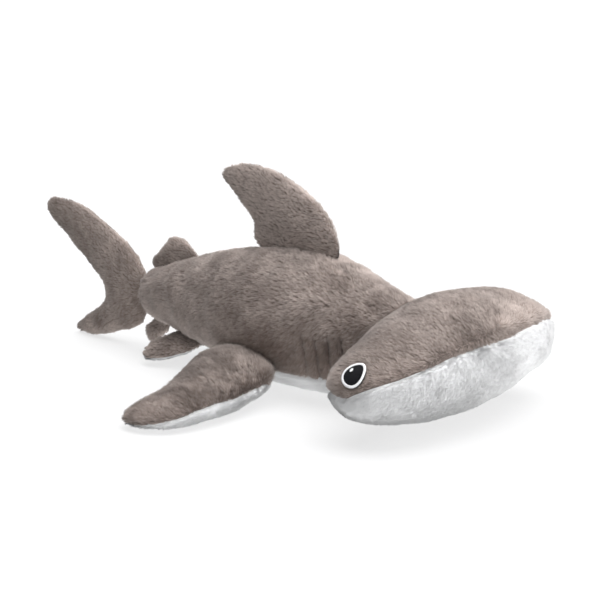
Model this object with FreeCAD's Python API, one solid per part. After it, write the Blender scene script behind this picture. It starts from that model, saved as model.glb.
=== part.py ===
import FreeCAD, Part
import math
import os

# Plush hammerhead shark, lying on its belly.  Millimetres, +Z up, the floor is Z = 0.
# The shark faces -Y.  Its right side is -X and its left side is +X.
# The origin is the centre of the footprint, on the floor.
#
# Every soft part is a sewn cover (pile fabric, drawn as a shell) round a filling.
# Stations along the shark are written as s, the distance forward of the middle of
# the first dorsal fin's root; Y = Y0 - s.

# ------------------------------------------------------------------ driving sizes
COVER = 5.0            # cover thickness: backing cloth plus pressed pile
GAP = 0.8              # smallest free gap between two bodies at rest
Y0 = -74.5             # shifts s to the centre of the footprint

# torso: s, centre height, half width, half height
TORSO = [
    (-258.0, 79.0, 12.0, 13.0),
    (-251.0, 79.0, 23.0, 25.0),
    (-238.0, 79.0, 32.0, 33.5),
    (-210.0, 80.5, 41.0, 41.0),
    (-169.0, 82.5, 51.0, 51.5),
    (-115.0, 84.0, 64.0, 65.5),
    (-60.0, 84.0, 75.0, 78.5),
    (0.0, 83.5, 82.0, 85.0),
    (50.0, 81.0, 82.0, 82.5),
    (92.0, 75.0, 72.0, 73.0),
    (126.0, 71.0, 58.5, 61.5),
    (152.0, 69.5, 50.0, 56.0),
]
BELLY_Z = 34.0         # height of the seam between the grey flanks and the white belly

# head: the wide hammer, built across the shark; r is the distance to its right
HEAD_S, HEAD_Z = 214.0, 75.5
HEAD_ROLL = 5.2        # the head lies a little on its right end
HEAD = [               # r, front half chord, rear half chord, half height
    (174.0, 12.0, 10.0, 9.0),
    (169.5, 28.0, 24.0, 20.5),
    (160.0, 43.0, 37.0, 30.5),
    (142.0, 58.0, 47.0, 39.5),
    (113.0, 71.0, 55.0, 48.0),
    (75.0, 81.0, 64.0, 55.5),
    (35.0, 86.5, 74.0, 60.0),
    (0.0, 88.0, 80.0, 61.0),
]
HEAD_SEAM = 0.33       # slope of the seam between the grey top and the white underside
NOD_S, NOD_Z = 126.0, 74.0     # neck hinge line
NOD_MAX = 14.0                 # degrees, nose up

# fins: stations are (span, lead, trail, half thickness, normal offset)
DORSAL_ROOT_Z = 170.5
DORSAL = [
    (0.0, 56.0, -56.0, 3.5, 0.0),
    (7.0, 59.5, -64.0, 8.5, 0.0),
    (18.0, 57.5, -73.0, 13.5, 0.0),
    (32.0, 50.0, -84.0, 15.0, 0.0),
    (45.0, 39.0, -96.0, 14.5, 0.0),
    (57.0, 22.0, -110.0, 13.5, 0.0),
    (68.0, 2.0, -120.0, 12.0, 0.0),
    (78.0, -21.0, -121.0, 10.0, 0.0),
    (85.5, -49.0, -110.0, 7.0, 0.0),
    (89.0, -67.0, -92.0, 3.5, 0.0),
]
SECOND_DORSAL_AT = (-250.0, 110.5)
SECOND_DORSAL_TILT = 19.5
SECOND_DORSAL = [
    (0.0, 77.0, 12.0, 3.0, 0.0),
    (5.0, 80.0, 4.0, 7.0, 0.0),
    (11.0, 78.0, 4.0, 9.5, 0.0),
    (17.0, 73.0, 18.0, 9.0, 0.0),
    (22.0, 65.0, 30.0, 7.0, 0.0),
    (25.0, 58.0, 40.0, 3.0, 0.0),
]
TAIL_S = -264.5        # front edge of the tail fin, and its hinge line
TAIL = [               # span is height
    (1.5, -362.0, -390.0, 3.5, 0.0),
    (7.0, -338.0, -398.0, 8.5, 0.0),
    (17.0, -306.0, -391.0, 12.5, 0.0),
    (31.0, -273.0, -371.0, 14.5, 0.0),
    (47.0, TAIL_S, -349.0, 15.0, 0.0),
    (61.0, TAIL_S, -340.0, 15.5, 0.0),
    (77.0, TAIL_S, -345.0, 15.5, 0.0),
    (92.0, TAIL_S, -359.0, 15.0, 0.0),
    (107.0, -268.0, -377.0, 14.5, 0.0),
    (122.0, -281.0, -397.0, 13.5, 0.0),
    (138.0, -305.0, -420.0, 12.5, 0.0),
    (153.0, -337.0, -440.0, 11.0, 0.0),
    (166.0, -364.0, -451.0, 9.0, 0.0),
    (175.0, -390.0, -448.0, 6.5, 0.0),
    (179.0, -410.0, -440.0, 3.0, 0.0),
]
ANAL_AT = (-257.0, 36.5)
ANAL = [               # span runs down
    (0.0, 38.0, 2.0, 3.0, 0.0),
    (5.0, 37.0, -4.0, 6.5, 0.0),
    (12.0, 28.0, -7.0, 7.5, 0.0),
    (20.0, 18.0, -5.0, 6.5, 0.0),
    (26.0, 11.0, 1.0, 3.5, 0.0),
]
PECTORAL_ROOT = (78.0, 44.0)   # r and z of the hinge line
PECTORAL = [           # span is r, measured from the shark's middle; offset is the height of the middle of the section
    (78.5, 34.0, -70.0, 5.0, 44.0),
    (86.0, 40.0, -77.0, 13.0, 42.5),
    (100.0, 45.0, -77.0, 20.0, 37.0),
    (125.0, 48.0, -69.0, 23.0, 28.5),
    (152.0, 50.0, -57.0, 22.0, 23.0),
    (185.0, 49.0, -44.0, 19.0, 19.5),
    (215.0, 45.0, -37.0, 16.5, 17.0),
    (242.0, 36.0, -34.0, 14.0, 14.5),
    (259.0, 22.0, -30.0, 10.0, 11.5),
    (267.0, 4.0, -21.0, 4.0, 9.0),
]
PELVIC_PIN = (31.0, 33.0)     # r and z of the line that the fin lifts about
PELVIC_MAX = 12.0             # degrees
PELVIC = [             # span is r; the fin slopes down from the lower flank
    (29.0, -129.0, -189.0, 3.5, 34.0),
    (33.0, -132.0, -193.0, 9.0, 31.5),
    (39.0, -139.0, -201.0, 11.0, 27.0),
    (46.0, -149.0, -208.0, 11.5, 22.5),
    (54.0, -163.0, -211.0, 10.0, 17.0),
    (61.0, -178.0, -208.0, 7.0, 13.0),
    (65.0, -188.0, -202.0, 3.5, 11.0),
]

# eyes, embroidered near each end of the hammer: r, s of the centre on the head's top
EYE_R, EYE_FWD, EYE_UP = 163.5, 7.4, 25.7
EYE_LONG, EYE_WIDE = 12.8, 10.4     # half length and half width of the black egg
EYE_RIM = 2.5

# gill creases: stitched lines on each flank
GILL_S = [69.0, 84.0, 99.0, 114.0]
GILL_LOW, GILL_HIGH = 42.0, 84.0

os.makedirs("parts", exist_ok=True)


def world(s, r, z):
    """From shark stations (s forward, r to its right, z up) to the part's frame."""
    return FreeCAD.Vector(-r, Y0 - s, z)


def ring(points):
    """A smooth closed wire through points given in the part's frame."""
    curve = Part.BSplineCurve()
    curve.interpolate(Points=points, PeriodicFlag=True)
    return Part.Wire([curve.toShape()])


def loft(wires):
    solid = Part.makeLoft(wires, True, False)
    if not solid.isValid():
        raise RuntimeError("a loft is not valid")
    if solid.Volume < 0:
        solid = solid.reversed()
    return solid


def shrink(stations, first, last, thick, inset, least=1.5):
    """Stations moved in by the cover: thin ends are dropped and the outer ones pulled in."""
    kept = [list(st) for st in stations if st[thick] - inset >= least]
    kept[0][0] += first
    kept[-1][0] += last
    return kept


def torso(inset=0.0, ends=0.0):
    rows = TORSO
    if inset > 0:
        rows = [list(t) for t in TORSO]
        rows[0][0] += ends
        rows[1][0] += ends * 0.6
    wires = []
    for s, zc, hw, hh in rows:
        pts = []
        for i in range(20):
            t = 2 * math.pi * i / 20
            pts.append(world(s, (hw - inset) * math.cos(t), zc + (hh - inset) * math.sin(t)))
        wires.append(ring(pts))
    return loft(wires)


def crown(r):
    """The hammer's top is fuller over the neck, and lies lower towards its left end."""
    t = min(1.0, max(0.0, (-r - 95.0) / 77.0))
    return 1.0 + 0.05 * math.exp(-(r / 62.0) ** 2) - 0.30 * t * t * (3 - 2 * t)


def head(inset=0.0, grow=0.0):
    rows = HEAD + [(-r, f, b, h) for r, f, b, h in HEAD[-2::-1]]
    rows = [list(h) for h in rows]
    if inset > 0:
        rows = rows[1:-1]
        rows[0][0] -= 0.4 * inset
        rows[-1][0] += 0.4 * inset
    wires = []
    for r, front, back, high in rows:
        pts = []
        d = grow - inset
        rr = r + (d if r > 0 else -d) * (1 if abs(r) > 165 and inset == 0 else 0)
        for i in range(20):
            t = 2 * math.pi * i / 20
            c = math.cos(t)
            chord = (front if c > 0 else back) + d
            tall = high * crown(rr) if math.sin(t) > 0 else high
            pts.append(world(HEAD_S + chord * c, rr, HEAD_Z + (tall + d) * math.sin(t)))
        wires.append(ring(pts))
    solid = loft(wires)
    return rolled(solid)


def rolled(shape):
    """The head lies over to its right by HEAD_ROLL."""
    shape = shape.copy()
    shape.rotate(world(HEAD_S, 0, HEAD_Z), FreeCAD.Vector(0, -1, 0), HEAD_ROLL)
    return shape


def fin(stations, origin, chord, span, normal, inset=0.0, pull=(0.0, 0.0), rake=1.0, least=1.5):
    """A pillow-shaped fin through oval sections.  All directions are in (s, r, z).

    rake widens the inset along the chord where the fin's edges slant."""
    rows = stations if inset == 0 else shrink(stations, pull[0], pull[1], 3, inset, least)
    wires = []
    for v, lead, trail, thick, off in rows:
        mid, half = (lead + trail) / 2.0, (lead - trail) / 2.0 - inset * rake
        pts = []
        for i in range(16):
            t = 2 * math.pi * (i + 0.37) / 16
            c = mid + half * math.cos(t)
            n = off + (thick - inset) * math.sin(t)
            pts.append(world(*[origin[k] + chord[k] * c + span[k] * v + normal[k] * n for k in range(3)]))
        wires.append(ring(pts))
    return loft(wires)


def block(s0, s1, r0, r1, z0, z1):
    """A box between stations."""
    b = Part.makeBox(r1 - r0, s1 - s0, z1 - z0)
    b.translate(FreeCAD.Vector(-r1, Y0 - s1, z0))
    return b


def one(shape):
    """The single largest solid of a cut, as a clean shape."""
    solids = sorted(shape.Solids, key=lambda q: q.Volume)
    if not solids:
        raise RuntimeError("nothing left after a cut")
    return solids[-1]


def save(name, shape):
    if shape.ShapeType != "Solid" and len(shape.Solids) == 1:
        shape = shape.Solids[0]
    if not shape.isValid():
        raise RuntimeError(name + " is not valid")
    shape.exportStep("parts/" + name + ".step")
    b = shape.BoundBox
    print("%-28s solids %d vol %9.0f  x %7.1f %7.1f  y %7.1f %7.1f  z %6.1f %6.1f" % (
        name, len(shape.Solids), shape.Volume, b.XMin, b.XMax, b.YMin, b.YMax, b.ZMin, b.ZMax))


S_AX, R_AX, Z_AX = (1.0, 0.0, 0.0), (0.0, 1.0, 0.0), (0.0, 0.0, 1.0)
BIG = 700.0

# ------------------------------------------------------------------ torso
floor_cut = block(-BIG, BIG, -BIG, BIG, -60.0, 0.0)
outer = torso().cut(floor_cut)
inner = torso(COVER, 5.0).cut(block(-BIG, BIG, -BIG, BIG, -60.0, COVER))

# The torso stops at the neck.  Below the hinge line its face is upright, and above it
# leans back, so that the head can lift without meeting it.
lean = math.tan(math.radians(NOD_MAX + 1.5))
face = [(NOD_S - GAP, -50.0), (NOD_S - GAP, NOD_Z), (NOD_S - GAP - lean * 150.0, NOD_Z + 150.0),
        (NOD_S + 200.0, NOD_Z + 150.0), (NOD_S + 200.0, -50.0), (NOD_S - GAP, -50.0)]


def prism(profile, r0, r1):
    """A profile in (s, z), drawn across the shark from r0 to r1."""
    wire = Part.makePolygon([world(s, r0, z) for s, z in profile])
    return Part.Face(wire).extrude(FreeCAD.Vector(-(r1 - r0), 0, 0))


ahead = prism(face, -300.0, 300.0)
outer = one(outer.cut(ahead))
inner_face = [(s - COVER if i != 3 and i != 4 else s, z) for i, (s, z) in enumerate(face)]
inner = one(inner.cut(prism(inner_face, -300.0, 300.0)))
shell = outer.cut(inner)
save("body_cover_right", one(shell.common(block(-BIG, BIG, 0.0, BIG, BELLY_Z, BIG))))
save("body_cover_left", one(shell.common(block(-BIG, BIG, -BIG, 0.0, BELLY_Z, BIG))))
save("belly_cover", one(shell.common(block(-BIG, BIG, -BIG, BIG, -BIG, BELLY_Z))))
save("body_filling", inner)

# ------------------------------------------------------------------ head
head_outer = head()
head_inner = head(COVER)
behind = block(-BIG, NOD_S + 0.2, -BIG, BIG, -BIG, BIG)
behind_in = block(-BIG, NOD_S + 0.2 + COVER, -BIG, BIG, -BIG, BIG)
# The back of the head is cut to the neck hinge, and stands clear of the torso.
neck = one(torso().common(block(NOD_S + 0.2, 153.0, -BIG, BIG, 0.5, BIG)))
head_outer = one(head_outer.cut(behind).fuse(neck))
head_inner = one(head_inner.cut(behind_in))
head_shell = head_outer.cut(head_inner)
seam_profile = [(HEAD_S - 300.0, HEAD_Z - 300.0 * HEAD_SEAM), (HEAD_S + 300.0, HEAD_Z + 300.0 * HEAD_SEAM),
                (HEAD_S + 300.0, HEAD_Z + 400.0), (HEAD_S - 300.0, HEAD_Z + 400.0),
                (HEAD_S - 300.0, HEAD_Z - 300.0 * HEAD_SEAM)]
upper = rolled(prism(seam_profile, -300.0, 300.0))
head_top = one(head_shell.common(upper))
head_under = one(head_shell.cut(upper))
save("head_top_cover", head_top)
save("head_under_cover", head_under)
save("head_filling", head_inner)

# ------------------------------------------------------------------ fins in the shark's middle plane


def split_fin(name, stations, origin, chord, span, normal, pull, rake=1.3, least=1.5):
    """A fin is two covers sewn together round a filling."""
    out = fin(stations, origin, chord, span, normal)
    core = fin(stations, origin, chord, span, normal, 4.0, pull, rake, least)
    if core.cut(out).Volume > 1.0:
        raise RuntimeError(name + ": the filling comes through the cover")
    cover = out.cut(core)
    right = block(-BIG, BIG, 0.0, BIG, -BIG, BIG)
    left = block(-BIG, BIG, -BIG, 0.0, -BIG, BIG)
    save(name + "_cover_right", one(cover.common(right)))
    save(name + "_cover_left", one(cover.common(left)))
    save(name + "_filling", core)


split_fin("dorsal_fin", DORSAL, (0, 0, DORSAL_ROOT_Z), S_AX, Z_AX, R_AX, (3.0, -3.0))
tilt = math.radians(SECOND_DORSAL_TILT)
ct, st = math.cos(tilt), math.sin(tilt)
split_fin("second_dorsal_fin", SECOND_DORSAL, (SECOND_DORSAL_AT[0], 0, SECOND_DORSAL_AT[1]),
          (ct, 0, st), (-st, 0, ct), R_AX, (1.5, -1.5))
split_fin("tail_fin", TAIL, (0, 0, 0), S_AX, Z_AX, R_AX, (4.0, -4.0), 2.2, 4.5)
split_fin("anal_fin", ANAL, (ANAL_AT[0], 0, ANAL_AT[1]), S_AX, (0, 0, -1.0), R_AX, (1.5, -1.5))


# ------------------------------------------------------------------ paired fins
near_torso = torso(-GAP)        # the torso grown by the gap


def paired_fin(name, stations, pull, inset, drop, pin=None, lift=0.0):
    """Grey cloth on top and white cloth underneath, round a filling.  The two cloths meet on
    the fin's edge, drop of the half thickness below its middle.  The root is cut to the body,
    with room to lift about the pin."""
    for side, sign in (("right", 1.0), ("left", -1.0)):
        o, cd, sp, nm = (0, 0, 0), S_AX, (0, sign, 0), Z_AX
        out = fin(stations, o, cd, sp, nm)
        core = fin(stations, o, cd, sp, nm, inset, pull, 1.3)
        if core.cut(out).Volume > 1.0:
            raise RuntimeError(name + ": the filling comes through the cover")
        keep_off = [near_torso]
        for part in (0.5, 1.0) if pin else ():
            turned = near_torso.copy()
            turned.rotate(world(0, sign * pin[0], pin[1]), FreeCAD.Vector(0, sign, 0), -lift * part)
            keep_off.append(turned)
        out = out.common(block(-BIG, BIG, -BIG, BIG, 0.0, BIG))
        for body in keep_off:
            out, core = one(out.cut(body)), one(core.cut(body))
        rows = [(st_[0], st_[4] - drop * st_[3]) for st_ in stations]
        line = [(rows[0][0] - 20.0, rows[0][1])] + rows + [(rows[-1][0] + 20.0, rows[-1][1])]
        line += [(line[-1][0], 200.0), (line[0][0], 200.0), line[0]]
        pts = [world(*[o[k] + cd[k] * -300.0 + sp[k] * v + nm[k] * n for k in range(3)]) for v, n in line]
        along = world(*cd) - world(0, 0, 0)
        top_half = Part.Face(Part.makePolygon(pts)).extrude(along * 600.0)
        cover = out.cut(core)
        save(name + "_" + side + "_top_cover", one(cover.common(top_half)))
        save(name + "_" + side + "_under_cover", one(cover.cut(top_half)))
        save(name + "_" + side + "_filling", core)


paired_fin("pectoral_fin", PECTORAL, (3.0, -3.0), 4.0, 0.30)
paired_fin("pelvic_fin", PELVIC, (1.5, -1.5), 4.0, 0.30, PELVIC_PIN, PELVIC_MAX)


# ------------------------------------------------------------------ embroidered eyes
def egg(long_, wide, point=0.22):
    """An egg outline, blunt end at -u and pointed end at +u."""
    pts = []
    for i in range(24):
        t = 2 * math.pi * i / 24
        u = long_ * math.cos(t)
        v = wide * math.sin(t) * (1 - point * math.cos(t))
        pts.append((u, v))
    return pts


skin = [head(), head(0.0, 1.2), head(0.0, 2.0), head(0.0, 2.6)]
for side, sign in (("right", 1.0), ("left", -1.0)):
    # frame of the eye on the end of the hammer: it looks outward and up
    look = FreeCAD.Vector(-sign * 0.703, -0.102, 0.704)
    look.normalize()
    along = FreeCAD.Vector(sign * 0.693, -0.322, 0.645)      # the egg points inward, up and forward
    u = along - look * along.dot(look)
    u.normalize()
    v = look.cross(u)
    roll = FreeCAD.Rotation(FreeCAD.Vector(0, -1, 0), HEAD_ROLL)
    centre = FreeCAD.Vector(-sign * EYE_R, Y0 - HEAD_S - EYE_FWD, HEAD_Z + EYE_UP)
    pivot = world(HEAD_S, 0, HEAD_Z)
    centre = pivot + roll.multVec(centre - pivot)
    u, v, look2 = roll.multVec(u), roll.multVec(v), roll.multVec(look)

    def plug(long_, wide, du=0.0, dv=0.0, point=0.22):
        pts = [centre + u * (a + du) + v * (b + dv) - look2 * 30.0 for a, b in egg(long_, wide, point)]
        return Part.Face(ring(pts)).extrude(look2 * 80.0)

    white = plug(EYE_LONG + EYE_RIM, EYE_WIDE + EYE_RIM).common(skin[1].cut(skin[0]))
    black = plug(EYE_LONG, EYE_WIDE).common(skin[2].cut(skin[1]))
    glint = plug(2.2, 2.0, 1.8, 6.6 * sign, 0.0).common(skin[3].cut(skin[2]))
    save("eye_rim_" + side, one(white))
    save("eye_pupil_" + side, one(black))
    save("eye_glint_" + side, one(glint))

# ------------------------------------------------------------------ gill creases, stitched with thread
for side, sign in (("right", 1.0), ("left", -1.0)):
    threads = []
    for s in GILL_S:
        # section of the torso at this station, by linear interpolation
        for a, b in zip(TORSO, TORSO[1:]):
            if a[0] <= s <= b[0]:
                f = (s - a[0]) / (b[0] - a[0])
                zc, hw, hh = [a[k] + f * (b[k] - a[k]) for k in (1, 2, 3)]
        pts = []
        for i in range(7):
            z = GILL_LOW + (GILL_HIGH - GILL_LOW) * i / 6.0
            r = hw * math.sqrt(max(0.0, 1 - ((z - zc) / hh) ** 2)) + 2.8
            pts.append(world(s, sign * r, z))
        curve = Part.BSplineCurve()
        curve.interpolate(Points=pts)
        path = Part.Wire([curve.toShape()])
        start = curve.tangent(curve.FirstParameter)[0]
        circle = Part.Wire([Part.Circle(pts[0], start, 0.9).toShape()])
        threads.append(path.makePipeShell([circle], True, False))
    save("gill_stitches_" + side, Part.makeCompound(threads))
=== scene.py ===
"""Looks of the plush hammerhead shark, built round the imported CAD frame.

Every stuffed part is a closed, crowned skin (backing cloth and underfur) with seams pulled
into it, and a pile of fine closed tufts on top.  Stations repeat part.py's, in millimetres:
s runs forward, r to the shark's right, z up.
"""

import math

import bpy
import numpy as np
from mathutils import Matrix, Vector

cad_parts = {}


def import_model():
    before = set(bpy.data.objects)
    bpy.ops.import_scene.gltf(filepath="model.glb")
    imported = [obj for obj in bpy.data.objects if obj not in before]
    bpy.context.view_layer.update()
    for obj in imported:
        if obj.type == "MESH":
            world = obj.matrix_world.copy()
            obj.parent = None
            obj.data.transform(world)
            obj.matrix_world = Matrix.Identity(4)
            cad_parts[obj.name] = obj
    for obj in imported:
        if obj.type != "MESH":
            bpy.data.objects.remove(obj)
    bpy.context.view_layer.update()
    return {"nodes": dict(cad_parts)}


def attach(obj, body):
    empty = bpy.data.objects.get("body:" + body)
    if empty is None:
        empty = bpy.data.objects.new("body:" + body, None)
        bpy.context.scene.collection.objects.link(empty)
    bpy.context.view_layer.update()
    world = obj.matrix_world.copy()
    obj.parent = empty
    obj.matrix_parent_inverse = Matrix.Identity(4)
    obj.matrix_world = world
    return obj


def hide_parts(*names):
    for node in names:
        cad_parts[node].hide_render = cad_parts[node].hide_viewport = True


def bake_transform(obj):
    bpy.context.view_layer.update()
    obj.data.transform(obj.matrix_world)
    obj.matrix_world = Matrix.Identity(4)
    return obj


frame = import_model()

MM = 0.001
Y0 = -74.5
SEED = 20


# ---------------------------------------------------------------- small maths
def world(s, r, z):
    """Stations in millimetres to metres in the frame."""
    return np.stack([-np.asarray(r, float), Y0 - np.asarray(s, float), np.asarray(z, float)], -1) * MM


def station(p):
    """The other way: metres in the frame to (s, r, z) in millimetres."""
    q = np.asarray(p) / MM
    return Y0 - q[..., 1], -q[..., 0], q[..., 2]


def unit(v):
    return v / np.maximum(np.linalg.norm(v, axis=-1, keepdims=True), 1e-12)


def smooth(a, b, x):
    t = np.clip((x - a) / (b - a), 0, 1)
    return t * t * (3 - 2 * t)


def lattice(ix, iy, iz, seed):
    h = (ix * 374761393 + iy * 668265263 + iz * 1274126177 + seed * 974634777) & 0xFFFFFFFF
    h = ((h ^ (h >> 13)) * 1103515245) & 0xFFFFFFFF
    h = ((h ^ (h >> 15)) * 2246822519) & 0xFFFFFFFF
    return (h ^ (h >> 16)) / 4294967296.0


def noise(p, size, seed):
    """Smooth value noise, -1 to 1, on points in millimetres."""
    q = np.asarray(p, float) / size + 64.0
    i = np.floor(q).astype(np.int64)
    f = q - i
    f = f * f * f * (f * (f * 6 - 15) + 10)
    out = 0.0
    for a in (0, 1):
        for b in (0, 1):
            for c in (0, 1):
                w = (f[..., 0] if a else 1 - f[..., 0]) * (f[..., 1] if b else 1 - f[..., 1]) * (f[..., 2] if c else 1 - f[..., 2])
                out = out + w * lattice(i[..., 0] + a, i[..., 1] + b, i[..., 2] + c, seed)
    return out * 2 - 1


def noise3(p, size, seed):
    return np.stack([noise(p, size, seed + k) for k in (0, 101, 202)], -1)


def clumps(p, size, seed):
    """For each point the nearest scattered clump centre, and three random numbers of that clump."""
    q = p / size + 64.0
    base = np.floor(q - 0.5).astype(np.int64)
    best = np.full(len(q), 1e9)
    centre = np.zeros_like(q)
    ids = np.zeros((len(q), 3))
    for a in (0, 1):
        for b in (0, 1):
            for c in (0, 1):
                k = base + np.array([a, b, c])
                f = np.stack([k[:, j] + 0.15 + 0.7 * lattice(k[:, 0], k[:, 1], k[:, 2], seed + j) for j in range(3)], -1)
                d = ((f - q) ** 2).sum(-1)
                near = d < best
                best[near] = d[near]
                centre[near] = f[near]
                ids[near] = np.stack([lattice(k[near, 0], k[near, 1], k[near, 2], seed + 7 + j) for j in range(3)], -1)
    return (centre - 64.0) * size, ids


def spline(x, y, at):
    """A natural cubic spline through y(x); y may have several columns."""
    x, y, at = np.asarray(x, float), np.asarray(y, float), np.asarray(at, float)
    if y.ndim == 1:
        y = y[:, None]
    n, h = len(x), np.diff(x)
    a = np.zeros((n, n))
    b = np.zeros((n, y.shape[1]))
    a[0, 0] = a[-1, -1] = 1
    for i in range(1, n - 1):
        a[i, i - 1], a[i, i], a[i, i + 1] = h[i - 1], 2 * (h[i - 1] + h[i]), h[i]
        b[i] = 6 * ((y[i + 1] - y[i]) / h[i] - (y[i] - y[i - 1]) / h[i - 1])
    m = np.linalg.solve(a, b)
    k = np.clip(np.searchsorted(x, at) - 1, 0, n - 2)
    t, u, hh = (at - x[k])[:, None], (x[k + 1] - at)[:, None], h[k][:, None]
    return (m[k] * u ** 3 + m[k + 1] * t ** 3) / (6 * hh) + (y[k] / hh - m[k] * hh / 6) * u + (y[k + 1] / hh - m[k + 1] * hh / 6) * t


def profile(rows, along, across, step, close_first, close_last):
    """Resamples a table of stations evenly.  along is its position column and across the
    columns that shrink to nothing at a closed end, where the table is mirrored, so that
    the end comes out round."""
    rows = [list(map(float, q)) for q in rows]
    n = len(rows)

    def mirror(q):
        return [-v if j in across else v for j, v in enumerate(q)]

    lead = [mirror(q) for q in rows[1:5][::-1]] if close_first else []
    tail = [mirror(q) for q in rows[-5:-1][::-1]] if close_last else []
    t = np.array(lead + rows + tail)
    pick = [along] + list(across)
    d = np.sqrt((np.diff(t[:, pick], axis=0) ** 2).sum(1))
    x = np.concatenate([[0], np.cumsum(d)])
    first, last = x[len(lead)], x[len(lead) + n - 1]
    count = max(4, int(round((last - first) / step)))
    return spline(x, t, np.linspace(first, last, count + 1))


# ---------------------------------------------------------------- the shark's shapes
TORSO = [  # s, centre height, half width, half height
    (-259.0, 79.0, 0.0, 0.0),
    (-257.0, 79.0, 13.0, 14.0),
    (-251.0, 79.0, 23.0, 25.0),
    (-238.0, 79.0, 32.0, 33.5),
    (-210.0, 80.5, 41.0, 41.0),
    (-169.0, 82.5, 51.0, 51.5),
    (-115.0, 84.0, 64.0, 65.5),
    (-60.0, 84.0, 75.0, 78.5),
    (0.0, 83.5, 82.0, 85.0),
    (50.0, 81.0, 82.0, 82.5),
    (92.0, 75.0, 72.0, 73.0),
    (126.0, 73.0, 58.5, 63.5),
    (152.0, 71.5, 50.0, 58.0),
    (172.0, 70.0, 46.0, 53.0),
    (186.0, 69.0, 36.0, 42.0),
    (192.0, 69.0, 20.0, 24.0),
    (194.0, 69.0, 0.0, 0.0),
]
BELLY_Z = 34.0

HEAD_S, HEAD_Z, HEAD_ROLL = 214.0, 75.5, math.radians(5.2)
HEAD = [  # r, front half chord, rear half chord, half height
    (0.0, 88.0, 80.0, 61.0),
    (35.0, 86.5, 74.0, 60.0),
    (75.0, 81.0, 64.0, 55.5),
    (113.0, 71.0, 55.0, 48.0),
    (142.0, 58.0, 47.0, 39.5),
    (160.0, 43.0, 37.0, 30.5),
    (169.5, 28.0, 24.0, 20.5),
    (174.0, 13.0, 11.0, 10.0),
    (175.5, 0.0, 0.0, 0.0),
]
HEAD_SEAM = 0.33
# angle of the front seam round the hammer's section, by r
HEAD_EDGE = [(-175, 0.37), (-130, 0.38), (-94, 0.44), (-69, 0.495), (-42, 0.485), (-18, 0.455), (7, 0.50), (40, 0.53), (68, 0.57), (90, 0.565), (121, 0.574), (148, 0.594), (168, 0.647), (172, 0.69)]

DORSAL_ROOT_Z = 170.5
DORSAL = [  # span, lead, trail, half thickness
    (-14.0, 58.0, -54.0, 9.0),
    (0.0, 64.0, -74.0, 9.5),
    (7.0, 62.5, -74.0, 11.0),
    (18.0, 57.5, -73.0, 14.0),
    (32.0, 50.0, -84.0, 15.0),
    (45.0, 38.0, -98.0, 14.5),
    (57.0, 20.0, -113.0, 13.5),
    (68.0, 0.0, -126.0, 12.0),
    (76.5, -21.0, -122.0, 10.0),
    (82.6, -45.0, -105.0, 7.5),
    (86.2, -62.0, -88.0, 4.0),
    (87.2, -72.0, -78.0, 2.0),
]
SECOND_AT, SECOND_TILT = (-250.0, 110.5), math.radians(19.5)
SECOND = [
    (-14.0, 90.0, -6.0, 7.0),
    (-5.0, 85.0, 1.5, 8.0),
    (0.0, 83.0, 1.0, 8.5),
    (5.0, 80.0, 2.0, 9.0),
    (10.0, 77.0, 12.0, 9.5),
    (14.5, 73.5, 22.0, 9.0),
    (18.5, 69.0, 31.0, 8.0),
    (22.5, 63.5, 39.0, 6.0),
    (25.2, 57.5, 45.0, 3.5),
    (25.8, 53.0, 49.0, 2.0),
]
TAIL_S = -264.5
TAIL = [  # height, lead, trail, half thickness
    (1.0, -372.0, -378.0, 2.0),
    (1.8, -360.0, -388.0, 4.5),
    (7.0, -338.0, -398.0, 8.5),
    (17.0, -306.0, -391.0, 12.5),
    (31.0, -272.0, -371.0, 14.5),
    (47.0, -262.0, -349.0, 15.5),
    (61.0, -258.0, -340.0, 16.5),
    (77.0, -258.0, -345.0, 16.5),
    (92.0, -261.0, -359.0, 15.5),
    (107.0, -268.0, -377.0, 14.5),
    (122.0, -280.0, -401.0, 13.5),
    (138.0, -302.0, -425.0, 12.5),
    (153.0, -332.0, -446.0, 11.0),
    (165.0, -361.0, -452.0, 9.0),
    (173.5, -387.0, -446.0, 6.5),
    (177.5, -408.0, -434.0, 3.5),
    (178.3, -420.0, -424.0, 2.0),
]
ANAL_AT = (-257.0, 36.5)
ANAL = [
    (-14.0, 36.0, 12.0, 4.0),
    (0.0, 38.0, 2.0, 5.0),
    (5.0, 37.0, -4.0, 7.0),
    (12.0, 28.0, -7.0, 7.5),
    (20.0, 18.0, -5.0, 6.5),
    (26.0, 11.0, 1.0, 3.5),
    (26.8, 7.5, 4.5, 2.0),
]
PECTORAL = [  # r, lead, trail, half thickness, centre height
    (60.0, 16.0, -60.0, 20.0, 36.0),
    (72.0, 24.0, -70.0, 22.0, 35.5),
    (86.0, 34.0, -77.0, 23.5, 34.0),
    (100.0, 42.0, -77.0, 24.0, 32.0),
    (125.0, 48.0, -69.0, 23.0, 28.0),
    (152.0, 50.0, -57.0, 22.0, 24.0),
    (185.0, 49.0, -44.0, 19.0, 20.5),
    (215.0, 45.0, -37.0, 16.5, 18.0),
    (242.0, 36.0, -34.0, 14.0, 15.0),
    (257.0, 22.0, -30.0, 10.0, 12.0),
    (264.5, 4.0, -21.0, 5.0, 9.0),
    (265.8, -7.0, -10.0, 2.5, 8.5),
]
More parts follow.
